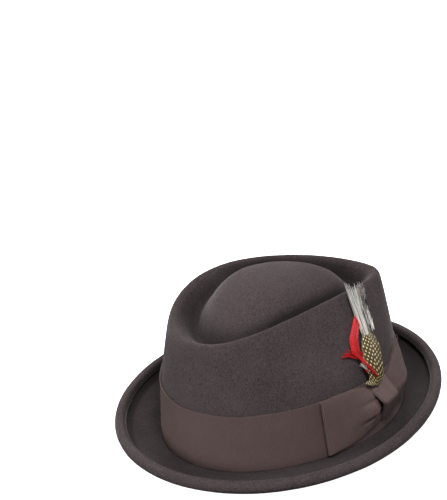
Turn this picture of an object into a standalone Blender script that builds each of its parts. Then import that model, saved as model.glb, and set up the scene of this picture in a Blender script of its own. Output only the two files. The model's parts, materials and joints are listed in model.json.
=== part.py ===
"""A pork pie hat of wool felt with a ribbon band, a flat bow and a feather trim, in metres, +Z up.

The hat rests on the underside of its brim at Z = 0. The front of the hat looks along -Y and the wearer's
left side, with the bow, along +X. The origin lies below the middle of the brim.
Heights named side, front and back are taken at the hat's left and right, its front and its back.
"""

import math

import bmesh
import bpy
from mathutils import Vector

# Felt
felt_wall = 0.0020
steps_around = 64
sharp_angle = 50.0

# Head opening, inside the crown at its base
head_half_width = 0.0842
head_front = 0.0998
head_back = 0.0998
crown_back_shift = 0.0025

# Brim floor beside the crown: height of its upper face over the resting plane
floor_side = 0.0082
floor_front = 0.0014
floor_back = 0.0014
corner_radius = 0.0016
rest_plane = 0.0

# Brim edge: overall reach of the rolled edge and height of the roll's middle
brim_half_width = 0.1204
brim_half_length = 0.1381
roll_height = 0.0105
roll_middle_side = 0.0147
roll_middle_front = 0.0156
roll_middle_back = 0.0198
roll_first_angle = -90.0
roll_last_angle = 198.0
roll_sections = 11
roll_inner_share = 0.88
floor_curl = 1.60

# Ribbon band
band_width = 0.0490
band_wall = 0.0012
band_gap = 0.00035
band_lift = 0.0010
band_taper_side = 0.0036
band_taper_front = 0.0051
band_taper_back = 0.0025

# Rim of the crown: the outer ring of its top
rim_half_width = 0.0537
rim_front = 0.0841
rim_back = 0.0956
rim_narrowing = 0.38
rim_height_side = 0.1207
rim_height_front = 0.1041
rim_height_back = 0.1087
rim_fill = 0.0042

# Dent and dome inside the rim
dome_height = 0.1320
dent_depth = 0.0160

# How late the wall leans in between the band and the rim, 1 being straight
wall_belly_side = 1.24
wall_belly_front = 1.13
wall_belly_back = 1.61
wall_belly_narrowing = 1.75

# Bow: a flat front wing, a shorter back wing and the knot, placed by angle round the crown
bow_ribbon = 0.0012
bow_gap = 0.0004
knot_angle = 35.0
knot_width = 0.0180
knot_rise = 0.0074
knot_low = 0.0110
knot_high = 0.0430
knot_swell = 0.85
knot_fullness = 0.70
knot_columns = 4
knot_rows = 10
wing_tuck = 0.0040
front_wing_length = 0.0445
front_wing_puff = 0.0050
back_wing_length = 0.0410
back_wing_puff = 0.0048
wing_pinch_low = 0.0155
wing_pinch_high = 0.0135
wing_crease = 0.45
wing_puff_turn = 2.3
wing_fullness = 0.85
wing_curve_low = 1.6
wing_curve_high = 4.0
wing_columns = 8
wing_rows = 4

# Feathers. foot is how far the quill starts above the band's top, stand_off the distance of its tips from the
# felt, turn how far the back edge stands out beyond the front edge, and lean how far each edge is raised or
# lowered
feather_wall = 0.0012
feather_camber = 0.0006
short_lock = 0.35
grizzly_foot = 0.0030
grizzly_length = 0.0485
grizzly_width = 0.0156
grizzly_stand_off = 0.0054
grizzly_turn = 0.0050
grizzly_lean = 0.0045
grizzly_lock_length = 0.0090
grizzly_locks = 7
red_foot = 0.0015
red_length = 0.0375
red_width = 0.0070
red_stand_off = 0.0008
red_turn = 0.0
red_lean = 0.0
red_lock_length = 0.0070
red_locks = 3
scale_foot = -0.0055
scale_length = 0.0290
scale_width = 0.0156
scale_stand_off = 0.0052
scale_turn = 0.0018
scale_lean = 0.0
scale_lock_length = 0.0025
scale_locks = 3

# Top of the crown from the middle of the dome out to the rim.
# width, front, back and narrowing are shares of the rim's sizes. dome is the share of the way up from the
# rim's height to the dome's height, and the drops are shares of the dent's depth below that.
top_sections = [
    {"name": "dome_top", "width": 0.00, "front": 0.00, "back": 0.00, "narrowing": 0.00,
     "dome": 1.00, "drop_side": 0.00, "drop_front": 0.00, "drop_back": 0.00},
    {"name": "dome_inner", "width": 0.22, "front": 0.19, "back": 0.23, "narrowing": 0.30,
     "dome": 0.94, "drop_side": 0.00, "drop_front": 0.00, "drop_back": 0.00},
    {"name": "dome_middle", "width": 0.44, "front": 0.37, "back": 0.43, "narrowing": 0.50,
     "dome": 0.76, "drop_side": 0.02, "drop_front": 0.10, "drop_back": 0.10},
    {"name": "dome_edge", "width": 0.62, "front": 0.53, "back": 0.58, "narrowing": 0.70,
     "dome": 0.46, "drop_side": 0.18, "drop_front": 0.26, "drop_back": 0.17},
    {"name": "dome_fall", "width": 0.735, "front": 0.65, "back": 0.68, "narrowing": 0.82,
     "dome": 0.15, "drop_side": 0.64, "drop_front": 0.74, "drop_back": 0.60},
    {"name": "groove", "width": 0.81, "front": 0.73, "back": 0.76, "narrowing": 0.90,
     "dome": 0.00, "drop_side": 1.00, "drop_front": 1.14, "drop_back": 0.98},
    {"name": "groove_rise", "width": 0.865, "front": 0.79, "back": 0.81, "narrowing": 0.93,
     "dome": 0.00, "drop_side": 0.80, "drop_front": 0.93, "drop_back": 0.80},
    {"name": "rim_inside", "width": 0.92, "front": 0.87, "back": 0.875, "narrowing": 0.98,
     "dome": 0.00, "drop_side": 0.25, "drop_front": 0.30, "drop_back": 0.25},
    {"name": "rim_crest", "width": 0.96, "front": 0.94, "back": 0.945, "narrowing": 1.00,
     "dome": 0.00, "drop_side": 0.00, "drop_front": 0.00, "drop_back": 0.00},
    {"name": "rim_outside", "width": 1.00, "front": 1.00, "back": 1.00, "narrowing": 1.00,
     "dome": 0.00, "drop_side": 0.12, "drop_front": 0.20, "drop_back": 0.14},
]

# Shares of the way along the brim's floor from the crown out to the roll, a section at each
floor_shares = [0.0, 0.1, 0.36, 0.68]

# Shares of the way from the rim's outside down to the band's top, a section of the wall at each
seat_shares = [1.0, 0.5, 0.06, 0.0]
wall_shares = [0.12, 0.36, 0.62, 0.85]

# Feathers, a row for each section from the quill to the tips. angle is in degrees from the knot, along is the
# share of the feather's length, and the rest are shares of its width, stand_off, turn and lean
grizzly_sections = [
    {"angle": -3.6, "along": 0.00, "width": 0.15, "stand_off": 0.11, "turn": 0.00, "lean": 0.00},
    {"angle": -2.9, "along": 0.16, "width": 0.48, "stand_off": 0.15, "turn": 0.12, "lean": 0.00},
    {"angle": -1.6, "along": 0.36, "width": 0.80, "stand_off": 0.26, "turn": 0.36, "lean": 0.13},
    {"angle": -0.4, "along": 0.56, "width": 0.96, "stand_off": 0.44, "turn": 0.64, "lean": 0.40},
    {"angle": 0.8, "along": 0.76, "width": 1.00, "stand_off": 0.70, "turn": 0.88, "lean": 0.71},
    {"angle": 1.9, "along": 1.00, "width": 0.84, "stand_off": 1.00, "turn": 1.00, "lean": 1.00},
]
red_sections = [
    {"angle": -6.0, "along": 0.00, "width": 0.29, "stand_off": 0.75, "turn": 0.00, "lean": 0.00},
    {"angle": -7.9, "along": 0.25, "width": 0.74, "stand_off": 0.75, "turn": 0.00, "lean": 0.00},
    {"angle": -9.4, "along": 0.52, "width": 1.00, "stand_off": 1.00, "turn": 0.00, "lean": 0.00},
    {"angle": -8.8, "along": 0.79, "width": 0.74, "stand_off": 1.00, "turn": 0.00, "lean": 0.00},
    {"angle": -7.6, "along": 1.00, "width": 0.37, "stand_off": 1.00, "turn": 0.00, "lean": 0.00},
]
scale_sections = [
    {"angle": -8.0, "along": 0.00, "width": 0.23, "stand_off": 0.73, "turn": 0.00, "lean": 0.00},
    {"angle": -6.4, "along": 0.14, "width": 0.49, "stand_off": 0.71, "turn": 0.22, "lean": 0.00},
    {"angle": -4.6, "along": 0.36, "width": 0.87, "stand_off": 0.69, "turn": 0.67, "lean": 0.00},
    {"angle": -3.0, "along": 0.60, "width": 1.00, "stand_off": 0.77, "turn": 1.00, "lean": 0.00},
    {"angle": -2.2, "along": 0.84, "width": 0.79, "stand_off": 0.87, "turn": 1.00, "lean": 0.00},
    {"angle": -2.0, "along": 1.00, "width": 0.41, "stand_off": 1.00, "turn": 0.67, "lean": 0.00},
]


def mix(first, second, share):
    return first + (second - first) * share


def by_direction(angle, side, front, back):
    """A size that is given at the side, the front and the back, at this angle round the crown."""
    end = front if math.sin(angle) < 0.0 else back
    return side * math.cos(angle) ** 2 + end * math.sin(angle) ** 2


def oval_point(angle, half_width, front, back, narrowing, height):
    """A point of an egg-shaped ring round the crown's middle."""
    reach = front if math.sin(angle) < 0.0 else back
    x = half_width * math.cos(angle) * (1.0 - narrowing * math.sin(angle))
    y = reach * math.sin(angle) + crown_back_shift
    return Vector((x, y, height))


def floor_height(angle):
    return by_direction(angle, floor_side, floor_front, floor_back)


def rim_height(angle):
    return by_direction(angle, rim_height_side, rim_height_front, rim_height_back)


def top_section(row, angle):
    """A ring of the crown's top, on its outer face."""
    height = mix(rim_height(angle), dome_height, row["dome"])
    drop = by_direction(angle, row["drop_side"], row["drop_front"], row["drop_back"])
    return oval_point(
        angle,
        row["width"] * rim_half_width,
        row["front"] * rim_front,
        row["back"] * rim_back,
        row["narrowing"] * rim_narrowing,
        height - drop * dent_depth,
    )


def band_seat(angle, share):
    """The felt's outer face behind the band, from its foot (0) to the band's top (1)."""
    height = floor_height(angle) + mix(corner_radius, band_lift + band_width, share)
    return oval_point(
        angle,
        head_half_width + felt_wall - share * band_taper_side,
        head_front + felt_wall - share * band_taper_front,
        head_back + felt_wall - share * band_taper_back,
        0.0,
        height,
    )


def wall_section(share, angle):
    """The felt's outer face between the band's top (0) and the rim's outside (1)."""
    outside = top_sections[-1]
    upper_height = top_section(outside, angle).z
    lower_height = band_seat(angle, 1.0).z
    lower_width = head_half_width + felt_wall - band_taper_side
    lower_front = head_front + felt_wall - band_taper_front
    lower_back = head_back + felt_wall - band_taper_back
    return oval_point(
        angle,
        mix(lower_width, rim_half_width, share ** wall_belly_side),
        mix(lower_front, rim_front, share ** wall_belly_front),
        mix(lower_back, rim_back, share ** wall_belly_back),
        rim_narrowing * share ** wall_belly_narrowing,
        mix(lower_height, upper_height, share),
    )


def brim_outward(angle):
    """The level direction that points out of the brim's outline at this angle."""
    return Vector((brim_half_length * math.cos(angle), brim_half_width * math.sin(angle), 0.0)).normalized()


def roll_centre(angle):
    """The middle of the rolled edge."""
    height = by_direction(angle, roll_middle_side, roll_middle_front, roll_middle_back)
    edge = Vector((brim_half_width * math.cos(angle), brim_half_length * math.sin(angle), height))
    return edge - brim_outward(angle) * (roll_height / 2)


def roll_point(angle, turn, radius):
    """A point of the rolled edge: turn runs from its lowest point, outwards, over its top and inwards."""
    level = math.cos(math.radians(turn))
    if level < 0.0:
        level *= roll_inner_share
    upward = math.sin(math.radians(turn))
    return roll_centre(angle) + brim_outward(angle) * (radius * level) + Vector((0.0, 0.0, radius * upward))


def floor_point(angle, share):
    """The upper face of the brim's floor, from beside the crown (0) to below the roll (1)."""
    inner = oval_point(
        angle,
        head_half_width + felt_wall + corner_radius,
        head_front + felt_wall + corner_radius,
        head_back + felt_wall + corner_radius,
        0.0,
        floor_height(angle),
    )
    outer = roll_point(angle, roll_first_angle, roll_height / 2 - felt_wall)
    point = inner.lerp(outer, share)
    point.z = mix(inner.z, outer.z, share ** floor_curl)
    return point


def ring(section):
    """A closed ring of points, one for each step round the crown."""
    return [section(2.0 * math.pi * step / steps_around) for step in range(steps_around)]


def roll_turns():
    span = roll_last_angle - roll_first_angle
    return [roll_first_angle + span * number / (roll_sections - 1) for number in range(roll_sections)]


def face_rings():
    """The felt's outer face, from the dome over the rim, down the wall and along the brim to inside its roll."""
    rings = []
    for row in top_sections[1:]:
        rings.append(ring(lambda angle, row=row: top_section(row, angle)))
    for share in reversed(wall_shares):
        rings.append(ring(lambda angle, share=share: wall_section(share, angle)))
    for share in seat_shares:
        rings.append(ring(lambda angle, share=share: band_seat(angle, share)))
    rings.append(ring(lambda angle: corner_point(angle)))
    for share in floor_shares:
        rings.append(ring(lambda angle, share=share: floor_point(angle, share)))
    for turn in roll_turns():
        rings.append(ring(lambda angle, turn=turn: roll_point(angle, turn, roll_height / 2 - felt_wall)))
    return rings


def corner_point(angle):
    """The middle of the rounded corner between the crown's foot and the floor."""
    upright = band_seat(angle, 0.0)
    level = floor_point(angle, 0.0)
    corner = Vector((upright.x, upright.y, level.z))
    return corner + (upright.lerp(level, 0.5) - corner) * (2.0 - math.sqrt(2.0))


def ring_normals(rings, index):
    """Unit normals of the face at one of its rings."""
    before = rings[max(index - 1, 0)]
    after = rings[min(index + 1, len(rings) - 1)]
    normals = []
    for step, point in enumerate(rings[index]):
        around = rings[index][(step + 1) % steps_around] - rings[index][step - 1]
        along = after[step] - before[step]
        normals.append(along.cross(around).normalized())
    return normals


def back_rings():
    """The felt's other face, a wall's thickness behind the first, from the roll to inside the dome."""
    front = face_rings()
    top_count = len(top_sections) - 1
    crest = top_count - 2
    skipped = {crest - 1, crest + 1}
    roll_start = len(front) - roll_sections
    rings = []
    for index in range(roll_start):
        if index in skipped:
            continue
        if index == crest:
            rings.append([point - Vector((0.0, 0.0, rim_fill)) for point in front[index]])
            continue
        normals = ring_normals(front, index)
        behind = [point - normal * felt_wall for point, normal in zip(front[index], normals)]
        for point in behind:
            point.z = max(point.z, rest_plane)
        rings.append(behind)
    for turn in roll_turns():
        rings.append(ring(lambda angle, turn=turn: roll_point(angle, turn, roll_height / 2)))
    rings.reverse()
    return rings


def new_object(name, mesh, colour, roughness, parent):
    """An object with its own Principled material."""
    material = bpy.data.materials.new(name)
    material.use_nodes = True
    shader = material.node_tree.nodes["Principled BSDF"]
    shader.inputs["Base Color"].default_value = (*colour, 1.0)
    shader.inputs["Roughness"].default_value = roughness
    shader.inputs["Metallic"].default_value = 0.0
    mesh.materials.append(material)
    mesh.shade_smooth()
    mesh.set_sharp_from_angle(angle=math.radians(sharp_angle))
    made = bpy.data.objects.new(name, mesh)
    made.parent = parent
    bpy.context.scene.collection.objects.link(made)
    return made


def join_loops(shape, first, second):
    """Quads between two closed loops of the same length."""
    count = len(first)
    for step in range(count):
        following = (step + 1) % count
        shape.faces.new((first[step], first[following], second[following], second[step]))


def finish_mesh(name, shape):
    bmesh.ops.recalc_face_normals(shape, faces=shape.faces)
    bmesh.ops.triangulate(shape, faces=shape.faces)
    mesh = bpy.data.meshes.new(name)
    shape.to_mesh(mesh)
    shape.free()
    return mesh


def make_felt_body(parent):
    """Crown and brim, blocked from one hood of felt, with the brim's edge rolled over."""
    shape = bmesh.new()
    loops = [[shape.verts.new(point) for point in points] for points in face_rings() + back_rings()]
    for first, second in zip(loops, loops[1:]):
        join_loops(shape, first, second)
    for loop, height in ((loops[0], dome_height), (loops[-1], dome_height - felt_wall)):
        pole = shape.verts.new((0.0, crown_back_shift, height))
        for step in range(steps_around):
            shape.faces.new((loop[step], loop[(step + 1) % steps_around], pole))
    return new_object("felt_body", finish_mesh("felt_body", shape), (0.075, 0.060, 0.056), 0.95, parent)


def on_crown(angle, height, proud):
    """A point over the crown's wall or its band seat, at a height and at a distance out of the felt."""
    levels = [band_seat(angle, 0.0), band_seat(angle, 1.0)]
    levels += [wall_section(share, angle) for share in (*wall_shares, 1.0)]
    lower = 0
    while lower < len(levels) - 2 and levels[lower + 1].z < height:
        lower += 1
    low, high = levels[lower], levels[lower + 1]
    point = low.lerp(high, (height - low.z) / (high.z - low.z))
    around = Vector((-rim_half_width * math.sin(angle), rim_front * math.cos(angle), 0.0))
    outward = around.cross(high - low).normalized()
    if outward.dot(Vector((point.x, point.y - crown_back_shift, 0.0))) < 0.0:
        outward.negate()
    return point + outward * proud


def make_hat_band(parent):
    """The grosgrain ribbon round the foot of the crown."""
    def seat(angle, share, proud):
        point = band_seat(angle, share)
        outward = Vector((math.cos(angle) * head_front, math.sin(angle) * head_half_width, 0.0))
        height = floor_height(angle) + band_lift + share * band_width
        return Vector((point.x, point.y, height)) + outward.normalized() * proud

    shape = bmesh.new()
    inner, outer = band_gap, band_gap + band_wall
    corners = ((0.0, inner), (0.0, outer), (0.5, outer), (1.0, outer), (1.0, inner), (0.5, inner))
    loops = []
    for share, proud in corners:
        points = ring(lambda angle, share=share, proud=proud: seat(angle, share, proud))
        loops.append([shape.verts.new(point) for point in points])
    for first, second in zip(loops, loops[1:] + loops[:1]):
        join_loops(shape, first, second)
    return new_object("hat_band", finish_mesh("hat_band", shape), (0.105, 0.076, 0.067), 0.75, parent)


def make_plate(name, back, front, colour, roughness, parent, tips=None):
    """A thin closed piece between two grids of points. tips holds a pair of points for each lock past the last row."""
    shape = bmesh.new()
    grids = [[[shape.verts.new(point) for point in row] for row in grid] for grid in (back, front)]
    for grid in grids:
        for row, following in zip(grid, grid[1:]):
            for left in range(len(row) - 1):
                shape.faces.new((row[left], row[left + 1], following[left + 1], following[left]))
    behind, ahead = grids
    for side in (0, -1):
        for number in range(len(behind) - 1):
            low, low_next = behind[number][side], behind[number + 1][side]
            high, high_next = ahead[number][side], ahead[number + 1][side]
            shape.faces.new((low, low_next, high_next, high))
    for left in range(len(behind[0]) - 1):
        shape.faces.new((behind[0][left], behind[0][left + 1], ahead[0][left + 1], ahead[0][left]))
    for left in range(len(behind[-1]) - 1):
        low, high = (grid[-1] for grid in grids)
        if tips is None:
            shape.faces.new((low[left], low[left + 1], high[left + 1], high[left]))
            continue
        low_tip, high_tip = (shape.verts.new(point) for point in tips[left])
        shape.faces.new((low[left], low[left + 1], low_tip))
        shape.faces.new((high[left], high[left + 1], high_tip))
        shape.faces.new((low[left], low_tip, high_tip, high[left]))
        shape.faces.new((low[left + 1], low_tip, high_tip, high[left + 1]))
    return new_object(name, finish_mesh(name, shape), colour, roughness, parent)


def radius_at(angle):
    """The band's distance from the crown's middle, which turns a length along the band into an angle."""
    point = band_seat(angle, 0.5)
    return math.hypot(point.x, point.y - crown_back_shift)


def angle_along(start, length):
    """The angle in degrees that lies a length along the band from a start angle."""
    return start + math.degrees(length / radius_at(math.radians(start)))


def crease_height(upward):
    """The share of a wing's puff at a share of the way up it: a crease with a face falling away on either side."""
    if upward < wing_crease:
        return (upward / wing_crease) ** wing_fullness
    return ((1.0 - upward) / (1.0 - wing_crease)) ** wing_fullness


def make_wing(name, knot_edge, length, puff, parent):
    """A wing of the bow, from its free end to its tuck under the knot. A negative length runs to the front."""
    columns, rows = wing_columns, wing_rows
    upwards = [wing_crease * row / rows for row in range(rows)]
    upwards += [mix(wing_crease, 1.0, row / rows) for row in range(rows + 1)]
    free_end = angle_along(knot_edge, length)
    tucked_end = angle_along(knot_edge, -math.copysign(wing_tuck, length))
    grids = ([], [])
    for column in range(columns + 1):
        share = column / columns
        angle = math.radians(mix(free_end, tucked_end, share))
        low = floor_height(angle) + 2.0 * band_lift + wing_pinch_low * share ** wing_curve_low
        high = floor_height(angle) + band_width + band_lift - wing_pinch_high * share ** wing_curve_high
        lift = puff * math.sin(wing_puff_turn * share)
        for grid, skin in zip(grids, (0.0, bow_ribbon)):
            base = band_gap + band_wall + bow_gap + skin
            points = []
            for upward in upwards:
                points.append(on_crown(angle, mix(low, high, upward), base + lift * crease_height(upward)))
            grid.append(points)
    return make_plate(name, grids[0], grids[1], (0.120, 0.086, 0.075), 0.75, parent)


def make_bow_knot(parent):
    """The strap of ribbon that goes over both wings."""
    first = angle_along(knot_angle, -knot_width / 2)
    last = angle_along(knot_angle, knot_width / 2)
    foot = floor_height(math.radians(knot_angle))
    grids = ([], [])
    for row in range(knot_rows + 1):
        upward = row / knot_rows
        height = foot + mix(knot_low, knot_high, upward)
        arch = knot_rise * math.sin(math.pi * upward ** knot_swell) ** knot_fullness
        for grid, skin in zip(grids, (0.0, bow_ribbon)):
            proud = band_gap + band_wall + bow_gap + arch + skin
            points = []
            for column in range(knot_columns + 1):
                angle = math.radians(mix(first, last, column / knot_columns))
                points.append(on_crown(angle, height, proud))
            grid.append(points)
    return make_plate("bow_knot", grids[0], grids[1], (0.135, 0.097, 0.084), 0.75, parent)


def make_feather(name, sections, sizes, tip_locks, colour, parent):
    """A feather lying up the crown: a cambered blade whose far edge ends in pointed locks."""
    foot, length, width, stand_off, turn, lean = sizes
    locks, lock_length = tip_locks
    band_top = floor_height(math.radians(knot_angle)) + band_lift + band_width
    heights = [band_top + foot + row["along"] * length for row in sections]
    grids = ([], [])
    for row, height in zip(sections, heights):
        angle = math.radians(knot_angle + row["angle"])
        radius = on_crown(angle, height, 0.0).xy.length
        for grid, skin in zip(grids, (0.0, feather_wall)):
            points = []
            for number in range(locks + 1):
                across = 2.0 * number / locks - 1.0
                turned = row["turn"] * turn * (1.0 + across) / 2.0
                camber = feather_camber * (1.0 - across * across)
                proud = row["stand_off"] * stand_off + skin + turned + camber
                bearing = angle + across * row["width"] * width / 2.0 / radius
                points.append(on_crown(bearing, height - row["lean"] * lean * across, proud))
            grid.append(points)
    tips = []
    for number in range(locks):
        shortened = 1.0 - short_lock * (number % 2)
        reach = lock_length * shortened / (heights[-1] - heights[-2])
        pair = []
        for grid in grids:
            edge = grid[-1][number].lerp(grid[-1][number + 1], 0.5)
            before = grid[-2][number].lerp(grid[-2][number + 1], 0.5)
            pair.append(edge + (edge - before) * reach)
        tips.append(pair)
    return make_plate(name, grids[0], grids[1], colour, 0.7, parent, tips)


def make_feathers(parent):
    """The trim behind the knot: a barred hackle, a dyed hackle beside it and a short body feather before them."""
    sizes = (grizzly_foot, grizzly_length, grizzly_width, grizzly_stand_off, grizzly_turn, grizzly_lean)
    locks = (grizzly_locks, grizzly_lock_length)
    make_feather("grizzly_feather", grizzly_sections, sizes, locks, (0.62, 0.58, 0.50), parent)
    sizes = (red_foot, red_length, red_width, red_stand_off, red_turn, red_lean)
    locks = (red_locks, red_lock_length)
    make_feather("red_feather", red_sections, sizes, locks, (0.65, 0.02, 0.03), parent)
    sizes = (scale_foot, scale_length, scale_width, scale_stand_off, scale_turn, scale_lean)
    locks = (scale_locks, scale_lock_length)
    make_feather("scale_feather", scale_sections, sizes, locks, (0.20, 0.16, 0.06), parent)


def clear_scene():
    for old in list(bpy.data.objects):
        bpy.data.objects.remove(old, do_unlink=True)


def main():
    clear_scene()
    hat = bpy.data.objects.new("hat", None)
    bpy.context.scene.collection.objects.link(hat)
    make_felt_body(hat)
    make_hat_band(hat)
    front_edge = angle_along(knot_angle, -knot_width / 2)
    back_edge = angle_along(knot_angle, knot_width / 2)
    make_wing("bow_front_wing", front_edge, -front_wing_length, front_wing_puff, hat)
    make_wing("bow_back_wing", back_edge, back_wing_length, back_wing_puff, hat)
    make_bow_knot(hat)
    make_feathers(hat)


main()
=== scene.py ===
"""Looks of a brown felt pork pie hat with a grosgrain band, a bow and a feather trim."""

import json
import math

import bpy
import numpy as np
from mathutils import Matrix, Vector
from mathutils.bvhtree import BVHTree

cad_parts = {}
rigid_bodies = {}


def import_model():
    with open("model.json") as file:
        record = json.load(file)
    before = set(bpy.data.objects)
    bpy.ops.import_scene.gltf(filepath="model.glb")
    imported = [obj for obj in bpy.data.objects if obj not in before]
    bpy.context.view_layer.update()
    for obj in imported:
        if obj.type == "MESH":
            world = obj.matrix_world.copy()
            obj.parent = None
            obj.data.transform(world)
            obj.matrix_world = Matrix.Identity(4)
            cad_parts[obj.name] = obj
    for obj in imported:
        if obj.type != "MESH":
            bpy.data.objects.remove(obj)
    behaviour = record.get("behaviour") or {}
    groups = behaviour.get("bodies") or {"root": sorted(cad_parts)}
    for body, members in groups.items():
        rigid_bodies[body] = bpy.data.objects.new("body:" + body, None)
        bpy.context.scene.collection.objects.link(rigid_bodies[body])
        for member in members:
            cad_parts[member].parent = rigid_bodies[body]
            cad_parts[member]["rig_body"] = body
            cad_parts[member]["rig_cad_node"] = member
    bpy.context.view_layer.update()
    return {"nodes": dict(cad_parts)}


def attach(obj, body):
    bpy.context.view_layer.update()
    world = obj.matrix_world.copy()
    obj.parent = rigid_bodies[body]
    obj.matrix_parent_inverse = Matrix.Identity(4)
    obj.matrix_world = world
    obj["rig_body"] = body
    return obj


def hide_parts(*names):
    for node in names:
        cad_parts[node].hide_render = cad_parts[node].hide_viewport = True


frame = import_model()

# Sizes shared with the part, in metres
crown_middle = np.array([0.0, 0.0025, 0.0])
crown_half_width = 0.0862
crown_half_length = 0.1018
floor_side = 0.0082
floor_end = 0.0014
band_width = 0.0490
band_lift = 0.0010
ribbon_wall = 0.0008
bow_wall = 0.0006
rib_pitch = 0.00094

# Flat sizes of the ribbons before they are laid, in metres, and the ribs that the bow's ones show
band_length = 0.590
loop_ribs = 100.0
strap_ribs = 44.0

# Bow, by bearing in degrees round the crown from its left side and height over the table. Each list runs
# from a wing's free end to its tucked end: the lower and upper edge, the crease's height and its place
# across the ribbon, and the puff. gap is how far the free end stands off, and wrinkle the folds' depth.
front_wing = {
    "free": (0.2, 1.0), "tucked": 34.0, "inside_out": False,
    "low": [0.0118, 0.0121, 0.0138, 0.0165, 0.0200], "high": [0.0595, 0.0596, 0.0585, 0.0545, 0.0500],
    "crease": [0.0000, 0.0000, 0.0014, 0.0066, 0.0010], "crease_at": [0.36, 0.38, 0.42, 0.50, 0.54],
    "puff": [0.0002, 0.0010, 0.0014, 0.0010, 0.0002], "gap": 0.0018, "wrinkle": 0.0016,
}
back_wing = {
    "free": (62.0, 63.5), "tucked": 38.0, "inside_out": True,
    "low": [0.0165, 0.0168, 0.0172, 0.0180, 0.0195], "high": [0.0625, 0.0612, 0.0585, 0.0540, 0.0500],
    "crease": [0.0010, 0.0050, 0.0074, 0.0060, 0.0010], "crease_at": [0.46, 0.48, 0.50, 0.50, 0.50],
    "puff": [0.0002, 0.0008, 0.0010, 0.0006, 0.0002], "gap": 0.0008, "wrinkle": 0.0,
}
# The strap's edges, by bearing from its lower end to its upper end
knot = {
    "left": [32.2, 31.0, 29.6, 27.8, 26.4], "right": [40.6, 39.6, 38.8, 39.0, 39.8],
    "low": 0.0165, "high": 0.0525, "rise": 0.0112, "crease_at": 0.64,
}

# Feathers, a row for each section from the quill: bearing, height and distance from the felt at both edges
grizzly_rows = [
    ((29.5, 0.0540, 0.0030), (33.0, 0.0535, 0.0030)),
    ((31.5, 0.0690, 0.0034), (40.0, 0.0660, 0.0040)),
    ((34.0, 0.0835, 0.0036), (44.5, 0.0785, 0.0052)),
    ((38.3, 0.0975, 0.0044), (47.5, 0.0910, 0.0066)),
    ((42.3, 0.1085, 0.0052), (51.0, 0.1030, 0.0082)),
    ((46.5, 0.1215, 0.0064), (57.0, 0.1165, 0.0100)),
]
red_rows = [
    ((27.9, 0.0560, 0.0062), (30.4, 0.0560, 0.0062)),
    ((26.2, 0.0660, 0.0060), (29.0, 0.0655, 0.0060)),
    ((26.6, 0.0745, 0.0040), (30.4, 0.0735, 0.0045)),
    ((24.8, 0.0815, 0.0026), (30.0, 0.0800, 0.0034)),
    ((27.8, 0.0895, 0.0022), (33.2, 0.0880, 0.0034)),
    ((34.6, 0.0960, 0.0026), (39.0, 0.0945, 0.0036)),
    ((42.4, 0.1030, 0.0036), (44.6, 0.1025, 0.0040)),
]
scale_rows = [
    ((23.4, 0.0590, 0.0062), (26.4, 0.0545, 0.0068)),
    ((26.2, 0.0600, 0.0066), (30.6, 0.0515, 0.0072)),
    ((27.2, 0.0660, 0.0064), (34.3, 0.0570, 0.0076)),
    ((28.2, 0.0745, 0.0062), (37.6, 0.0680, 0.0082)),
    ((30.6, 0.0820, 0.0062), (40.6, 0.0770, 0.0082)),
    ((34.6, 0.0880, 0.0066), (40.6, 0.0850, 0.0078)),
]
down_rows = [
    ((29.0, 0.0600, 0.0068), (31.0, 0.0600, 0.0068)),
    ((24.5, 0.0720, 0.0050), (28.5, 0.0745, 0.0060)),
]
wisp_rows = [
    ((28.0, 0.0700, 0.0042), (29.5, 0.0800, 0.0042)),
    ((21.0, 0.0800, 0.0024), (25.5, 0.0830, 0.0030)),
    ((17.5, 0.0815, 0.0016), (23.5, 0.0860, 0.0022)),
]
cover_rows = [
    ((24.6, 0.0800, 0.0050), (27.6, 0.0788, 0.0060)),
    ((26.4, 0.0700, 0.0092), (28.2, 0.0690, 0.0096)),
    ((28.6, 0.0606, 0.0092), (30.2, 0.0592, 0.0096)),
]

# The photograph's camera: the target point, where it is in the picture, and the way to the camera from it
target_point = (0.0, 0.0025, 0.0518)
target_pixel = (277.0, 357.8)
picture_size = (447.0, 500.0)
focal_pixels = 1468.0
camera_azimuth = 70.0
camera_elevation = 33.3
camera_roll = -6.2
camera_distance = 1.2

white = (1.0, 1.0, 1.0, 1.0)

# Lamps: name, place in metres, width of the panel in metres, and watts
lamps = [
    ("key softbox", (0.72, 0.00, 1.30), 0.4, 16.5),
    ("low fill", (0.95, -1.10, 0.45), 0.6, 6.0),
    ("front rim light", (-0.25, -1.5, 0.6), 0.6, 11.0),
    ("back rim light", (0.5, 1.40, 0.5), 0.6, 5.0),
    ("far softbox", (-1.10, 0.35, 0.95), 0.8, 13.0),
]


def select_only(*pieces):
    """Leaves object mode with just these pieces selected, the last of them active."""
    if bpy.context.mode != "OBJECT":
        bpy.ops.object.mode_set(mode="OBJECT")
    bpy.ops.object.select_all(action="DESELECT")
    for piece in pieces:
        piece.select_set(True)
        bpy.context.view_layer.objects.active = piece


def apply_modifier(piece, kind, **settings):
    select_only(piece)
    modifier = piece.modifiers.new(kind.lower(), kind)
    for name, value in settings.items():
        setattr(modifier, name, value)
    bpy.ops.object.modifier_apply(modifier=modifier.name)


def edit_whole(piece, operator, **settings):
    """Runs an edit mode operator on all of a piece's mesh."""
    select_only(piece)
    bpy.ops.object.mode_set(mode="EDIT")
    bpy.ops.mesh.select_all(action="SELECT")
    operator(**settings)
    bpy.ops.object.mode_set(mode="OBJECT")


def points_of(piece):
    flat = np.empty(len(piece.data.vertices) * 3)
    piece.data.vertices.foreach_get("co", flat)
    return flat.reshape(-1, 3)


def set_points(piece, points):
    piece.data.vertices.foreach_set("co", np.ascontiguousarray(points).ravel())
    piece.data.update()


def shade_smooth(piece, angle=180.0):
    select_only(piece)
    bpy.ops.object.shade_smooth_by_angle(angle=math.radians(angle))


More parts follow.
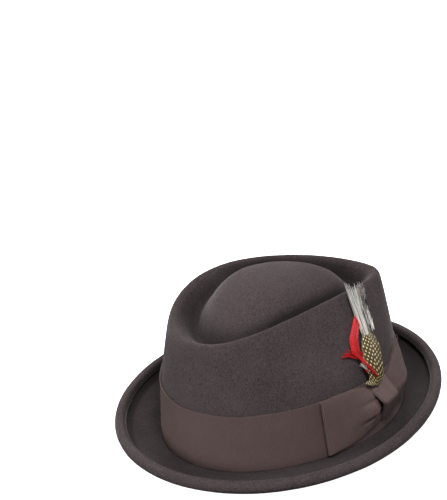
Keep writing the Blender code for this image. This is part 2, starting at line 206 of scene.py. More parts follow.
def blend_table(table, share):
    """The value of an evenly spaced table at shares from 0 to 1."""
    values = np.asarray(table, float)
    places = np.linspace(0.0, 1.0, len(values))
    share = np.clip(share, 0.0, 1.0)
    if values.ndim == 1:
        return np.interp(share, places, values)
    return np.stack([np.interp(share, places, column) for column in values.T], axis=-1)


def smooth_step(low, high, value):
    share = np.clip((value - low) / (high - low), 0.0, 1.0)
    return share * share * (3.0 - 2.0 * share)


# Places on the felt crown
def floor_under(bearing):
    """Height of the brim's upper face beside the crown."""
    return floor_side * np.cos(bearing) ** 2 + floor_end * np.sin(bearing) ** 2


def bearing_lines(bearing):
    """Level unit directions out of the crown, and how far its foot is along them."""
    line = np.stack([np.cos(bearing) * crown_half_width, np.sin(bearing) * crown_half_length], axis=-1)
    reach = np.linalg.norm(line, axis=-1)
    return line / reach[..., None], reach


class Crown:
    """How far the crown's outside is from its middle, by bearing and by rise over the brim.

    Rays run inwards from start times the crown's foot, at levels between lowest and highest in metres."""

    lowest, highest, levels, columns, start = 0.004, 0.092, 45, 360, 1.035

    def __init__(self, felt):
        tree = BVHTree.FromObject(felt, bpy.context.evaluated_depsgraph_get())
        self.reach = np.zeros((self.columns, self.levels))
        for column, bearing in enumerate(np.linspace(0.0, 2.0 * math.pi, self.columns, endpoint=False)):
            line, foot = bearing_lines(bearing)
            for level, rise in enumerate(np.linspace(self.lowest, self.highest, self.levels)):
                start = crown_middle + np.array([*(line * foot * self.start), floor_under(bearing) + rise])
                hit = tree.ray_cast(Vector(start), Vector((-line[0], -line[1], 0.0)))
                self.reach[column, level] = foot * self.start - hit[3]
        for _ in range(3):
            self.reach = (np.roll(self.reach, 1, 0) + 2.0 * self.reach + np.roll(self.reach, -1, 0)) / 4.0

    def surface(self, bearing, rise):
        column = np.degrees(bearing) % 360.0
        left = np.floor(column).astype(int) % self.columns
        right = (left + 1) % self.columns
        across = column - np.floor(column)
        step = (self.highest - self.lowest) / (self.levels - 1)
        level = (np.clip(rise, self.lowest, self.highest) - self.lowest) / step
        low = np.minimum(np.floor(level).astype(int), self.levels - 2)
        upward = level - low
        table = self.reach
        lower = table[left, low] * (1.0 - across) + table[right, low] * across
        upper = table[left, low + 1] * (1.0 - across) + table[right, low + 1] * across
        slope = (table[left, -1] - table[left, -5]) / (4.0 * step)
        beyond = np.maximum(rise - self.highest, 0.0)
        reach = lower + (upper - lower) * upward + slope * beyond
        line, _ = bearing_lines(bearing)
        return crown_middle + np.concatenate(
            [line * reach[..., None], (floor_under(bearing) + rise)[..., None]], axis=-1)

    def at(self, degrees, height, proud):
        """Points at bearings in degrees, at heights over the table and at distances out of the felt."""
        bearing, height, proud = np.broadcast_arrays(
            np.radians(np.asarray(degrees, float)), np.asarray(height, float), np.asarray(proud, float))
        rise = height - floor_under(bearing)
        turn, lift = math.radians(1.5), 0.003
        around = self.surface(bearing + turn, rise) - self.surface(bearing - turn, rise)
        along = self.surface(bearing, rise + lift) - self.surface(bearing, rise - lift)
        outward = np.cross(around, along)
        outward /= np.linalg.norm(outward, axis=-1)[..., None]
        return self.surface(bearing, rise) + outward * proud[..., None]


# Shader pieces
def feed(tree, socket, value):
    """Links a socket to an output, or sets its value."""
    if isinstance(value, bpy.types.NodeSocket):
        tree.links.new(value, socket)
    else:
        socket.default_value = value


def add_node(tree, kind, links=None, **settings):
    """A node with its settings, and with values or links given by socket name."""
    node = tree.nodes.new(kind)
    for name, value in settings.items():
        setattr(node, name, value)
    for name, value in (links or {}).items():
        feed(tree, node.inputs[name], value)
    return node


def new_group(name, inputs, outputs):
    """An empty node group. inputs holds (name, kind, value) and outputs (name, kind)."""
    tree = bpy.data.node_groups.new(name, "ShaderNodeTree")
    for label, kind, value in inputs:
        socket = tree.interface.new_socket(label, in_out="INPUT", socket_type=kind)
        socket.default_value = value
    for label, kind in outputs:
        tree.interface.new_socket(label, in_out="OUTPUT", socket_type=kind)
    return tree, tree.nodes.new("NodeGroupInput").outputs, tree.nodes.new("NodeGroupOutput").inputs


def math_node(tree, operation, first, second=0.0, clamp=False):
    node = tree.nodes.new("ShaderNodeMath")
    node.operation = operation
    node.use_clamp = clamp
    for socket, value in zip(node.inputs, (first, second)):
        feed(tree, socket, value)
    return node.outputs[0]


def mix_colours(tree, factor, first, second):
    node = tree.nodes.new("ShaderNodeMix")
    node.data_type = "RGBA"
    for socket, value in ((node.inputs[0], factor), (node.inputs[6], first), (node.inputs[7], second)):
        feed(tree, socket, value)
    return node.outputs[2]


def fibre_group():
    """Fine mottling of matted or spun fibres, with broad fading under it."""
    colour, number = "NodeSocketColor", "NodeSocketFloat"
    tree, given, out = new_group(
        "fibre mottling",
        [("Dark", colour, (0.06, 0.05, 0.05, 1)), ("Light", colour, (0.1, 0.09, 0.09, 1)),
         ("Fibre Scale", number, 1100.0), ("Fading Scale", number, 28.0), ("Fading", number, 0.35)],
        [("Color", colour), ("Height", number)])
    place = add_node(tree, "ShaderNodeTexCoord").outputs["Object"]
    fine = add_node(tree, "ShaderNodeTexNoise", {
        "Vector": place, "Scale": given["Fibre Scale"], "Detail": 4.0, "Roughness": 0.65, "Distortion": 0.8})
    broad = add_node(tree, "ShaderNodeTexNoise", {
        "Vector": place, "Scale": given["Fading Scale"], "Detail": 3.0})
    spread = add_node(tree, "ShaderNodeMapRange", {
        "Value": fine.outputs["Fac"], "From Min": 0.30, "From Max": 0.70})
    shift = math_node(tree, "SUBTRACT", broad.outputs["Fac"], 0.5)
    faded = math_node(tree, "MULTIPLY", shift, given["Fading"])
    factor = math_node(tree, "ADD", spread.outputs["Result"], faded, clamp=True)
    tree.links.new(mix_colours(tree, factor, given["Dark"], given["Light"]), out["Color"])
    tree.links.new(spread.outputs["Result"], out["Height"])
    return tree


def rib_group():
    """Ribs of a grosgrain ribbon across its width, from the piece's UV map."""
    number = "NodeSocketFloat"
    tree, given, out = new_group(
        "grosgrain ribs", [("Ribs", number, 600.0), ("Threads", number, 90.0)],
        [("Height", number), ("Gap", number)])
    place = add_node(tree, "ShaderNodeUVMap", uv_map="UVMap").outputs["UV"]
    split = add_node(tree, "ShaderNodeSeparateXYZ", {"Vector": place}).outputs
    turned = math_node(tree, "MULTIPLY", split["X"], given["Ribs"])
    turned = math_node(tree, "MULTIPLY", turned, 2.0 * math.pi)
    wave = math_node(tree, "MULTIPLY", math_node(tree, "COSINE", turned), 0.5)
    height = math_node(tree, "POWER", math_node(tree, "ADD", wave, 0.5), 0.6)
    crossed = math_node(tree, "MULTIPLY", split["Y"], given["Threads"])
    crossed = math_node(tree, "MULTIPLY", crossed, 2.0 * math.pi)
    slanted = math_node(tree, "ADD", crossed, turned)
    thread = math_node(tree, "MULTIPLY", math_node(tree, "SINE", slanted), 0.12)
    tree.links.new(math_node(tree, "ADD", height, thread), out["Height"])
    tree.links.new(math_node(tree, "SUBTRACT", 1.0, height, clamp=True), out["Gap"])
    return tree


def barb_group():
    """Streaks along a feather's barbs, from the along, across and shade attributes of its strands."""
    colour, number = "NodeSocketColor", "NodeSocketFloat"
    tree, given, out = new_group(
        "barb streaks",
        [("Root", colour, (0.5, 0.5, 0.5, 1)), ("Tip", colour, (0.8, 0.8, 0.8, 1)), ("Streak", number, 0.3)],
        [("Color", colour), ("Height", number)])
    along = add_node(tree, "ShaderNodeAttribute", attribute_name="along").outputs["Fac"]
    shade = add_node(tree, "ShaderNodeAttribute", attribute_name="shade").outputs["Fac"]
    blended = mix_colours(tree, along, given["Root"], given["Tip"])
    place = add_node(tree, "ShaderNodeTexCoord").outputs["Object"]
    noise = add_node(tree, "ShaderNodeTexNoise", {"Vector": place, "Scale": 900.0, "Detail": 2.0})
    darker = math_node(tree, "MULTIPLY", math_node(tree, "MULTIPLY", shade, given["Streak"]),
                       math_node(tree, "ADD", noise.outputs["Fac"], 0.5))
    tree.links.new(mix_colours(tree, darker, blended, (0.02, 0.015, 0.012, 1)), out["Color"])
    tree.links.new(noise.outputs["Fac"], out["Height"])
    return tree


fibre_mottling = fibre_group()
grosgrain_ribs = rib_group()
barb_streaks = barb_group()


def new_material(name, **values):
    """A material and its tree, with values set on its Principled shader."""
    material = bpy.data.materials.new(name)
    material.use_nodes = True
    tree = material.node_tree
    shader = tree.nodes["Principled BSDF"]
    for label, value in values.items():
        shader.inputs[label.replace("_", " ")].default_value = value
    return material, tree, shader


def place_group(tree, group, **values):
    node = add_node(tree, "ShaderNodeGroup", node_tree=group)
    for label, value in values.items():
        node.inputs[label.replace("_", " ")].default_value = value
    return node.outputs


def add_bump(tree, shader, height, strength, distance):
    bump = add_node(tree, "ShaderNodeBump", {"Height": height, "Strength": strength, "Distance": distance})
    tree.links.new(bump.outputs["Normal"], shader.inputs["Normal"])


def felt_material():
    """Matted felt with a soft sheen, with painted shade in its hollows, darkest where other felt hides most
    of the surroundings.
    """
    material, tree, shader = new_material(
        "brown fur felt", Roughness=0.92, Sheen_Weight=0.30, Sheen_Roughness=0.35,
        Sheen_Tint=(0.62, 0.55, 0.55, 1.0), Specular_IOR_Level=0.15)
    nap = place_group(tree, fibre_mottling, Dark=(0.026, 0.0195, 0.0205, 1), Light=(0.092, 0.071, 0.073, 1),
                      Fibre_Scale=950.0, Fading_Scale=30.0, Fading=0.5)
    painted_occlusion = add_node(tree, "ShaderNodeAttribute", attribute_name="painted_occlusion").outputs["Fac"]
    # Painted shade: the occlusion share mixes the nap colour towards near black in the hollows
    painted_hollow_shade = add_node(tree, "ShaderNodeMapRange", {
        "Value": painted_occlusion, "From Min": 0.17, "From Max": 0.58, "To Max": 0.85}).outputs["Result"]
    nap_with_painted_shade = mix_colours(tree, painted_hollow_shade, nap["Color"], (0.012, 0.009, 0.009, 1))
    tree.links.new(nap_with_painted_shade, shader.inputs["Base Color"])
    add_bump(tree, shader, nap["Height"], 0.55, 0.0003)
    return material


def grosgrain_material(name, dark, light, ribs):
    """Ribbed ribbon, with painted shade in the gaps between its ribs."""
    material, tree, shader = new_material(
        name, Roughness=0.62, Sheen_Weight=0.12, Sheen_Roughness=0.4, Sheen_Tint=(0.7, 0.6, 0.58, 1.0),
        Specular_IOR_Level=0.35)
    rib = place_group(tree, grosgrain_ribs, Ribs=ribs, Threads=96.0)
    yarn = place_group(tree, fibre_mottling, Dark=dark, Light=light, Fibre_Scale=1300.0, Fading_Scale=45.0,
                       Fading=0.4)
    # Painted shade: the gaps between the ribs are mixed towards a darker copy of the yarn colour
    gap = math_node(tree, "MULTIPLY", rib["Gap"], 0.45)
    painted_gap_shade = tuple(0.35 * channel for channel in dark[:3]) + (1.0,)
    tree.links.new(mix_colours(tree, gap, yarn["Color"], painted_gap_shade), shader.inputs["Base Color"])
    add_bump(tree, shader, rib["Height"], 0.7, 0.00025)
    return material


def barb_material(name, root, tip, streak, **values):
    material, tree, shader = new_material(name, **values)
    barbs = place_group(tree, barb_streaks, Root=root, Tip=tip, Streak=streak)
    tree.links.new(barbs["Color"], shader.inputs["Base Color"])
    add_bump(tree, shader, barbs["Height"], 0.3, 0.0001)
    return material


def grizzly_material():
    """White barbs on one side of the quill, and dark bars on the other."""
    material, tree, shader = new_material("grizzly barbs", Roughness=0.45, Specular_IOR_Level=0.4)
    barbs = place_group(tree, barb_streaks, Root=(0.86, 0.80, 0.72, 1), Tip=(0.94, 0.92, 0.88, 1),
                        Streak=1.0)
    along = add_node(tree, "ShaderNodeAttribute", attribute_name="along").outputs["Fac"]
    across = add_node(tree, "ShaderNodeAttribute", attribute_name="across").outputs["Fac"]
    place = add_node(tree, "ShaderNodeCombineXYZ", {
        "X": math_node(tree, "MULTIPLY", across, 11.0), "Y": math_node(tree, "MULTIPLY", along, 4.0)})
    blot = add_node(tree, "ShaderNodeTexNoise", {
        "Vector": place.outputs["Vector"], "Scale": 1.1, "Detail": 1.0, "Distortion": 0.4})
    side = add_node(tree, "ShaderNodeMapRange", {"Value": across, "From Min": 0.36, "From Max": 0.54})
    bars = add_node(tree, "ShaderNodeMapRange", {
        "Value": blot.outputs["Fac"], "From Min": 0.46, "From Max": 0.52})
    dark = math_node(tree, "MULTIPLY", side.outputs["Result"], bars.outputs["Result"])
    barred = mix_colours(tree, dark, barbs["Color"], (0.030, 0.020, 0.016, 1))
    tree.links.new(barred, shader.inputs["Base Color"])
    add_bump(tree, shader, barbs["Height"], 0.3, 0.0001)
    return material


def scale_material():
    """Olive with rows of pale gold dots that run down to the quill in a V."""
    material, tree, shader = new_material("scaled feather", Roughness=0.38, Specular_IOR_Level=0.6)
    uv = add_node(tree, "ShaderNodeUVMap", uv_map="UVMap").outputs["UV"]
    split = add_node(tree, "ShaderNodeSeparateXYZ", {"Vector": uv}).outputs
    side = math_node(tree, "ABSOLUTE", math_node(tree, "SUBTRACT", split["Y"], 0.5))
    row = math_node(tree, "SUBTRACT", math_node(tree, "MULTIPLY", split["X"], 15.0),
                    math_node(tree, "MULTIPLY", side, 3.4))
    column = math_node(tree, "ADD", math_node(tree, "MULTIPLY", split["Y"], 7.0),
                       math_node(tree, "MULTIPLY", math_node(tree, "FLOOR", row), 0.5))
    steps = [math_node(tree, "SUBTRACT", math_node(tree, "FRACT", value), 0.5) for value in (row, column)]
    squares = [math_node(tree, "MULTIPLY", value, value) for value in steps]
    far = math_node(tree, "SQRT", math_node(tree, "ADD", *squares))
    dots = add_node(tree, "ShaderNodeMapRange", {"Value": far, "From Min": 0.26, "From Max": 0.16})
    place = add_node(tree, "ShaderNodeTexCoord").outputs["Object"]
    noise = add_node(tree, "ShaderNodeTexNoise", {"Vector": place, "Scale": 700.0, "Detail": 3.0})
    noise = noise.outputs["Fac"]
    ground = mix_colours(tree, noise, (0.010, 0.006, 0.002, 1), (0.110, 0.074, 0.022, 1))
    tree.links.new(mix_colours(tree, dots.outputs["Result"], ground, (0.90, 0.78, 0.40, 1)),
                   shader.inputs["Base Color"])
    add_bump(tree, shader, math_node(tree, "ADD", dots.outputs["Result"], noise), 0.4, 0.0002)
    return material


def finish_piece(piece, material, slot, *nodes):
    """Gives a piece its material and the body it rides on, and hides the frame's nodes that it replaces;
    slot is not used.
    """
    piece.data.materials.clear()
    piece.data.materials.append(material)
    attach(piece, "root")
    if nodes:
        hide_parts(*nodes)
    return piece


# Felt crown and brim
def measure_painted_occlusion(felt, reach=0.06, directions=72):
    """Stores how much of each point's surroundings other felt hides, which the felt's colour uses as painted
    shade in the hollows.
    """
    tree = BVHTree.FromObject(felt, bpy.context.evaluated_depsgraph_get())
    index = np.arange(directions) + 0.5
    height = 1.0 - 2.0 * index / directions
    turn = index * math.pi * (1.0 + math.sqrt(5.0))
    level = np.sqrt(1.0 - height * height)
    around = np.stack([level * np.cos(turn), level * np.sin(turn), height], axis=-1)
    values = []
    for vertex in felt.data.vertices:
        facing = around @ np.array(vertex.normal)
        start = vertex.co + vertex.normal * 0.0008
        seen = [(share, tree.ray_cast(start, Vector(line), reach)[0] is not None)
                for share, line in zip(facing, around) if share > 0.15]
        values.append(sum(share for share, hit in seen if hit) / max(sum(share for share, _ in seen), 1e-6))
    store(felt, "painted_occlusion", values)


def make_felt():
    """The felt body, copied from the frame, rounded and given the unevenness of hand blocking."""
    select_only(frame["nodes"]["felt_body"])
    bpy.ops.object.duplicate()
    felt = bpy.context.active_object
    felt.name = "felt_hat"
    felt.parent = None
    felt.data = felt.data.copy()
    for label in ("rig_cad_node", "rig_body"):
        if label in felt:
            del felt[label]
    joined = math.radians(60.0)
    edit_whole(felt, bpy.ops.mesh.remove_doubles, threshold=0.00001)
    edit_whole(felt, bpy.ops.mesh.tris_convert_to_quads, face_threshold=joined, shape_threshold=joined)
    # Occlusion share for the painted shade in the felt's hollows, measured before rounding
    measure_painted_occlusion(felt)
    apply_modifier(felt, "SUBSURF", levels=2, render_levels=2)
    for scale, strength in ((0.045, 0.0007), (0.012, 0.00025)):
        clouds = bpy.data.textures.new("blocking marks", "CLOUDS")
        clouds.noise_scale = scale
        apply_modifier(felt, "DISPLACE", texture=clouds, texture_coords="LOCAL", strength=strength,
                       mid_level=0.5)
    points = points_of(felt)
    table_height = 0.0
    points[:, 2] = np.maximum(points[:, 2], table_height)
    set_points(felt, points)
    shade_smooth(felt)
    return finish_piece(felt, felt_material(), "felt", "felt_body")


# Ribbons
def lay_ribbon(name, columns, rows, place, wall, offset):
    """A flat ribbon as a grid, laid where place(u, v) says, and given its thickness."""
    select_only()
    bpy.ops.mesh.primitive_grid_add(x_subdivisions=columns, y_subdivisions=rows, size=1.0)
    ribbon = bpy.context.active_object
    ribbon.name = name
    flat = points_of(ribbon)
    set_points(ribbon, place(flat[:, 0] + 0.5, flat[:, 1] + 0.5))
    apply_modifier(ribbon, "SOLIDIFY", thickness=wall, offset=offset)
    return ribbon


def make_band(crown):
    """The ribbon round the crown's foot, joined under the bow."""
    def place(u, v):
        degrees = 36.0 + 360.0 * u
        bearing = np.radians(degrees)
        wave = 0.0003 * np.sin(5.0 * bearing + 1.0) + 0.0002 * np.sin(11.0 * bearing)
        height = floor_under(bearing) + band_lift + band_width * v + wave * smooth_step(0.3, 1.0, v)
        proud = 0.0004 + 0.0003 * smooth_step(0.9, 1.0, v)
        proud = proud + 0.0002 * (1.0 + np.sin(7.0 * bearing + 6.0 * v)) / 2.0
        return crown.at(degrees, height, proud)

    band = lay_ribbon("ribbon_band", 420, 16, place, ribbon_wall, 1.0)
    edit_whole(band, bpy.ops.mesh.remove_doubles, threshold=0.00002)
    shade_smooth(band, 40.0)
    material = grosgrain_material("grosgrain band", (0.092, 0.061, 0.058, 1), (0.150, 0.100, 0.095, 1),
                                  band_length / rib_pitch)
    finish_piece(band, material, "grosgrain_band", "hat_band")
    return band


def fold_height(v, crease_at, sharpness=0.07):
    """A rounded ridge across a ribbon: 1 at the crease and 0 at both edges."""
    side = np.where(v < crease_at, (crease_at - v) / crease_at, (v - crease_at) / (1.0 - crease_at))
    edge = math.sqrt(1.0 + sharpness * sharpness)
    return (edge - np.sqrt(side * side + sharpness * sharpness)) / (edge - sharpness)


def make_wing(crown, name, node, wing, material):
    """A loop of ribbon: its outer layer, the fold at its free end, and its inner layer back to the knot."""
    layer_gap = 0.0011
    fold_start, fold_end = 0.47, 0.53

    def place(u, v):
        along = 1.0 - u if wing["inside_out"] else u
        outer = along > 0.5
        turn = np.clip((along - fold_start) / (fold_end - fold_start), 0.0, 1.0)
        share = np.where(outer, (along - 0.5) / 0.5, (0.5 - along) / 0.5)
        share = share - 0.012 * np.sin(math.pi * turn)
        low = blend_table(wing["low"], share)
        high = blend_table(wing["high"], share)
        free = wing["free"][1] + (wing["free"][0] - wing["free"][1]) * v
        degrees = free + (wing["tucked"] - free) * share
        crease_at = blend_table(wing["crease_at"], share)
        crease = blend_table(wing["crease"], share) * fold_height(v, crease_at)
        crease = crease + blend_table(wing["puff"], share) * np.sin(math.pi * v) ** 0.5
        gathered = wing["wrinkle"] * smooth_step(0.42, 0.80, share)
        for start, depth in ((0.14, 1.0), (0.24, -0.6), (0.52, 0.7)):
            crease = crease - gathered * depth * np.exp(-((v - start - 0.22 * share) / 0.045) ** 2)
        inner = 0.0021 + wing["gap"] * (1.0 - smooth_step(0.0, 0.22, share))
        proud = np.where(outer, inner + layer_gap + crease, inner + 0.25 * crease * (share > 0.1))
        folded = inner + layer_gap / 2.0 * (1.0 - np.cos(math.pi * turn))
        proud = np.where((turn > 0.0) & (turn < 1.0), folded, proud)
        proud = proud + 0.0002 * np.sin(40.0 * share + 5.0 * v) * share
        return crown.at(degrees, low + (high - low) * v, proud)

    loop = lay_ribbon(name, 160, 40, place, bow_wall, 0.0)
    shade_smooth(loop, 50.0)
    finish_piece(loop, material, "grosgrain_bow", node)
    return loop


def make_knot(crown, material):
    """The strap over both wings, with its long edges turned in."""
    def place(u, v):
        side = 2.0 * v - 1.0
        height = knot["high"] + (knot["low"] - knot["high"]) * u
        upward = (height - knot["low"]) / (knot["high"] - knot["low"])
        rise = knot["rise"] * fold_height(upward, knot["crease_at"], 0.10)
        proud = 0.0036 + rise - 0.0024 * np.abs(side) ** 12 + 0.0002 * np.sin(9.0 * side + 2.0)
        left = blend_table(knot["left"], upward)
        degrees = left + (blend_table(knot["right"], upward) - left) * v
        return crown.at(degrees, height, proud)

    strap = lay_ribbon("bow_strap", 80, 28, place, bow_wall, 0.0)
    edit_whole(strap, bpy.ops.mesh.normals_make_consistent, inside=False)
    shade_smooth(strap, 50.0)
    finish_piece(strap, material, "grosgrain_bow", "bow_knot")
    return strap


# Feathers
def feather_point(crown, rows, along, across, lift=0.0):
    """Points of a feather's face: along runs from quill to tips, across from -1 to 1 between its edges."""
    left = blend_table([row[0] for row in rows], along)
    right = blend_table([row[1] for row in rows], along)
    share = ((across + 1.0) / 2.0)[..., None]
    bearing, height, proud = np.moveaxis(left + (right - left) * share, -1, 0)
    step = 1.0 / (len(rows) - 1)
    beyond = np.maximum(along - 1.0, 0.0)[..., None]
    last = [np.asarray(rows[-1][side]) - np.asarray(rows[-2][side]) for side in (0, 1)]
    extra = (last[0] + (last[1] - last[0]) * share) * beyond / step
    return crown.at(bearing + extra[..., 0], height + extra[..., 1], proud + extra[..., 2] + lift)


def grow_barbs(name, paths, widths, thickness, shade, sections=10):
    """One slim closed strand, modelled once and copied along every path.

    paths(share) gives the strands' points, widths their half widths, and shade a number for each strand."""
    select_only()
    bpy.ops.mesh.primitive_cylinder_add(vertices=5, radius=1.0, depth=1.0, end_fill_type="NGON")
    barbs = bpy.context.active_object
    barbs.name = name
    bpy.ops.object.mode_set(mode="EDIT")
    bpy.ops.mesh.select_mode(type="EDGE")
    bpy.ops.mesh.select_all(action="DESELECT")
    bpy.ops.object.mode_set(mode="OBJECT")
    for edge in barbs.data.edges:
        first, second = (barbs.data.vertices[index].co for index in edge.vertices)
        edge.select = abs(first.z - second.z) > 0.5
    bpy.ops.object.mode_set(mode="EDIT")
    bpy.ops.mesh.subdivide(number_cuts=sections - 1)
    bpy.ops.object.mode_set(mode="OBJECT")
    template = points_of(barbs)
    count = len(shade)
    apply_modifier(barbs, "ARRAY", count=count, use_relative_offset=False, use_constant_offset=True,
                   constant_offset_displace=(0.0, 0.0, 0.0))
    share = np.tile(template[:, 2] + 0.5, (count, 1))
    step = 0.03
    before = paths(np.clip(share - step, 0.0, 1.0))
    after = paths(np.clip(share + step, 0.0, 1.0))
    middle = paths(share)
    line = after - before
    line /= np.linalg.norm(line, axis=-1)[..., None]
    outward = middle - crown_middle
    outward[..., 2] = 0.012
    outward /= np.linalg.norm(outward, axis=-1)[..., None]
    sideways = np.cross(line, outward)
    sideways /= np.linalg.norm(sideways, axis=-1)[..., None]
    facing = np.cross(sideways, line)
    slim = np.sqrt(np.clip(1.0 - share, 0.0, 1.0)) * 0.85 + 0.15
    slim = np.minimum(slim, 0.4 + 4.0 * share)
    width = np.asarray(widths)[:, None] * slim
    points = middle + sideways * (template[:, 0] * width)[..., None]
    points = points + facing * (template[:, 1] * width * thickness)[..., None]
    set_points(barbs, points.reshape(-1, 3))
    edit_whole(barbs, bpy.ops.mesh.normals_make_consistent, inside=False)
    store(barbs, "along", share)
    store(barbs, "shade", np.repeat(np.asarray(shade)[:, None], share.shape[1], 1))
    shade_smooth(barbs)
    return barbs


def store(piece, label, values):
    """Keeps a number for each of a piece's points, for its material to read."""
    attribute = piece.data.attributes.new(label, "FLOAT", "POINT")
    attribute.data.foreach_set("value", np.ascontiguousarray(values, np.float32).ravel())


def swept_paths(crown, rows, chance, count, spread, wave, depth):
    """Paths of barbs that leave the quill low down and sweep out to the feather's edge."""
    ends = np.sort(chance.uniform(-1.0, 1.0, count))
    roots = chance.uniform(0.0, 0.45, count)
    tips = np.clip(chance.normal(0.97, 0.06, count), 0.7, 1.06)
    phase = chance.uniform(0.0, 6.28, count)
    layer = chance.uniform(-1.0, 1.0, count) * depth

    def paths(share):
        along = roots[:, None] + (tips - roots)[:, None] * share
        across = ends[:, None] * (spread + (1.0 - spread) * share ** 0.7)
        across = across + wave * np.sin(5.0 * share + phase[:, None]) * share
        return feather_point(crown, rows, along, across, layer[:, None] * (0.3 + 0.7 * share))

    return paths, ends


def make_grizzly(crown, chance):
    """The long cream feather with dark bars."""
    paths, ends = swept_paths(crown, grizzly_rows, chance, 240, 0.35, 0.10, 0.0016)
    widths = chance.uniform(0.00020, 0.00050, len(ends))
    shade = chance.uniform(0.0, 1.0, len(ends)) ** 3
    hackle = grow_barbs("grizzly_hackle", paths, widths, 0.45, shade, 12)
    across = np.repeat(((ends + 1.0) / 2.0)[:, None], len(hackle.data.vertices) // len(ends), 1)
    store(hackle, "across", across)
    return finish_piece(hackle, grizzly_material(), "grizzly_feather", "grizzly_feather")


def make_red(crown, chance):
    """The red dyed hackle, bent to the left of the others."""
    paths, ends = swept_paths(crown, red_rows, chance, 150, 0.8, 0.14, 0.0012)
    widths = chance.uniform(0.00022, 0.00045, len(ends))
    shade = chance.uniform(0.0, 1.0, len(ends)) ** 2
    hackle = grow_barbs("red_hackle", paths, widths, 0.5, shade, 16)
    material = barb_material("dyed red barbs", (0.86, 0.006, 0.012, 1), (0.98, 0.016, 0.030, 1), 0.95,
                             Roughness=0.36, Specular_IOR_Level=0.35)
    return finish_piece(hackle, material, "red_feather", "red_feather")


def make_scale(crown, chance):
    """The short body feather: a cambered vane with a soft fringe of barbs round it."""
    def place(u, v):
        side = 2.0 * v - 1.0
        ragged = 1.0 + 0.05 * np.sin(46.0 * u + 9.0 * side) * (np.abs(side) > 0.8)
        camber = 0.0016 * (1.0 - side * side)
        return feather_point(crown, scale_rows, u, side * ragged, camber)

    vane = lay_ribbon("scale_vane", 60, 24, place, 0.0004, 0.0)
    shade_smooth(vane, 60.0)
    finish_piece(vane, scale_material(), "scale_feather", "scale_feather")
    count = 150
    sides = np.where(chance.uniform(0.0, 1.0, count) < 0.5, -1.0, 1.0)
    roots = chance.uniform(0.15, 0.95, count)
    reach = chance.uniform(0.06, 0.20, count)

    def paths(share):
        along = roots[:, None] + (0.10 + reach)[:, None] * share
        across = sides[:, None] * (0.55 + (0.42 + 0.6 * reach)[:, None] * share)
        return feather_point(crown, scale_rows, along, across, 0.0006 - 0.0003 * share)

    fringe = grow_barbs("scale_fringe", paths, chance.uniform(0.00012, 0.00024, count), 0.5,
                        chance.uniform(0.0, 1.0, count), 8)
    material = barb_material("olive barbs", (0.11, 0.08, 0.03, 1), (0.42, 0.34, 0.17, 1), 0.6, Roughness=0.5)
    finish_piece(fringe, material, "scale_feather")


def make_fluff(crown, chance):
    """Loose pale down by the quills, stray wisps of red, and the red that crosses the scaled feather."""
    down = barb_material("pale down", (0.78, 0.70, 0.62, 1), (0.86, 0.80, 0.76, 1), 0.25, Roughness=0.6)
    red = bpy.data.materials["dyed red barbs"]
    # Each group: its rows, the numbers that swept_paths takes, half width, thickness and darkest shade
    for name, rows, (count, spread, wave, depth), width, thickness, darkest, material, slot in (
        ("quill_down", down_rows, (34, 0.5, 0.30, 0.0010), 0.00014, 0.7, 0.4, down, "grizzly_feather"),
        ("red_wisps", wisp_rows, (26, 0.5, 0.20, 0.0008), 0.00018, 0.6, 1.0, red, "red_feather"),
        ("red_cover", cover_rows, (44, 0.7, 0.25, 0.0005), 0.00022, 0.6, 1.0, red, "red_feather"),
    ):
        paths, _ = swept_paths(crown, rows, chance, count, spread, wave, depth)
        shade = chance.uniform(0.0, darkest, count)
        barbs = grow_barbs(name, paths, np.full(count, width), thickness, shade, 10)
        finish_piece(barbs, material, slot)


def make_thread(crown, material):
    """The small loop of thread left at the back end of the bow."""
    middle, upper = crown.at([62.3, 62.3], [0.0634, 0.0700], [0.0036, 0.0040])
    select_only()
    bpy.ops.mesh.primitive_torus_add(major_segments=24, minor_segments=8, major_radius=0.0015,
                                     minor_radius=0.00028)
    loop = bpy.context.active_object
    loop.name = "thread_loop"
    upright = (upper - middle) / np.linalg.norm(upper - middle)
    outward = np.cross(upright, np.cross([0.9, 0.1, 0.3], upright))
    outward /= np.linalg.norm(outward)
    flat = points_of(loop)
    across = np.cross(upright, outward)
    turned = flat[:, :1] * across + flat[:, 1:2] * 1.5 * upright + flat[:, 2:] * outward
    set_points(loop, middle + turned)
    shade_smooth(loop)
    finish_piece(loop, material, "grosgrain_bow")


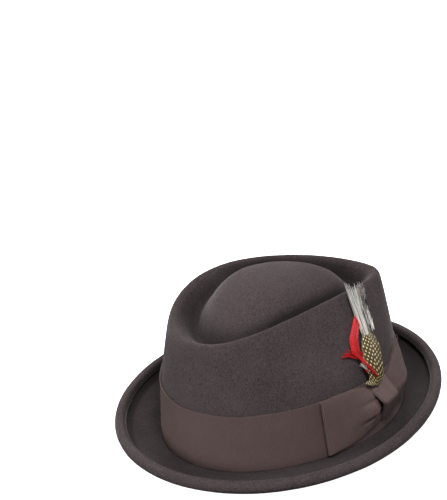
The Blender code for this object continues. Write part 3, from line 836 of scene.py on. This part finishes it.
# The room
def make_room():
    """A floor as white as the photograph's, which lights nothing, a pale sky, and the lamps."""
    select_only()
    bpy.ops.mesh.primitive_plane_add(size=8.0)
    floor = bpy.context.active_object
    floor.name = "pale_floor"
    material, _, _ = new_material("pale floor", Roughness=0.9, Base_Color=(0.92, 0.92, 0.92, 1.0),
                                  Emission_Color=white, Emission_Strength=1.0)
    floor.data.materials.append(material)
    floor.visible_diffuse = False
    floor.visible_glossy = False
    floor.visible_transmission = False
    world = bpy.context.scene.world or bpy.data.worlds.new("studio")
    bpy.context.scene.world = world
    world.use_nodes = True
    tree = world.node_tree
    direction = add_node(tree, "ShaderNodeTexCoord").outputs["Generated"]
    upward = add_node(tree, "ShaderNodeSeparateXYZ", {"Vector": direction})
    sky = add_node(tree, "ShaderNodeMapRange", {
        "Value": upward.outputs["Z"], "From Min": -0.1, "From Max": 0.5, "To Min": 0.01, "To Max": 0.18})
    tree.links.new(sky.outputs["Result"], tree.nodes["Background"].inputs["Strength"])
    tree.nodes["Background"].inputs["Color"].default_value = white
    for name, place, size, power in lamps:
        lamp = bpy.data.lights.new(name, "AREA")
        lamp.size = size
        lamp.energy = power
        light = bpy.data.objects.new(name, lamp)
        light.location = place
        light.rotation_euler = (-Vector(place)).to_track_quat("-Z", "Y").to_euler()
        bpy.context.scene.collection.objects.link(light)


def make_camera():
    """The photograph's camera, which shows the target point at a known pixel."""
    azimuth, elevation, roll = (
        math.radians(value) for value in (camera_azimuth, camera_elevation, camera_roll))
    back = Vector((math.sin(azimuth) * math.cos(elevation), -math.cos(azimuth) * math.cos(elevation),
                   math.sin(elevation)))
    right = Vector((math.cos(azimuth), math.sin(azimuth), 0.0))
    up = back.cross(right)
    level = right * math.cos(roll) + up * math.sin(roll)
    upright = up * math.cos(roll) - right * math.sin(roll)
    axes = Matrix((level, upright, back)).transposed()
    across = (target_pixel[0] - picture_size[0] / 2.0) / focal_pixels
    downward = (target_pixel[1] - picture_size[1] / 2.0) / focal_pixels
    sight = Vector((across, -downward, -1.0)).normalized()
    turn = sight.rotation_difference(Vector((0.0, 0.0, -1.0))).to_matrix()
    camera = bpy.data.cameras.new("camera")
    camera.sensor_fit = "AUTO"
    camera.sensor_width = 36.0
    camera.lens = camera.sensor_width * focal_pixels / picture_size[1]
    stand = bpy.data.objects.new("camera", camera)
    place = Vector(target_point) + back * camera_distance
    stand.matrix_world = Matrix.Translation(place) @ (axes @ turn).to_4x4()
    bpy.context.scene.collection.objects.link(stand)
    bpy.context.scene.camera = stand


def main():
    chance = np.random.default_rng(7)
    bpy.context.scene.view_settings.view_transform = "Standard"
    felt = make_felt()
    crown = Crown(felt)
    make_band(crown)
    bow = grosgrain_material("grosgrain bow", (0.094, 0.062, 0.058, 1), (0.152, 0.102, 0.096, 1), loop_ribs)
    make_wing(crown, "front_loop", "bow_front_wing", front_wing, bow)
    make_wing(crown, "back_loop", "bow_back_wing", back_wing, bow)
    strap = grosgrain_material("grosgrain knot", (0.100, 0.066, 0.062, 1), (0.160, 0.108, 0.102, 1),
                               strap_ribs)
    make_knot(crown, strap)
    make_thread(crown, strap)
    make_grizzly(crown, chance)
    make_red(crown, chance)
    make_scale(crown, chance)
    make_fluff(crown, chance)
    make_room()
    make_camera()


main()
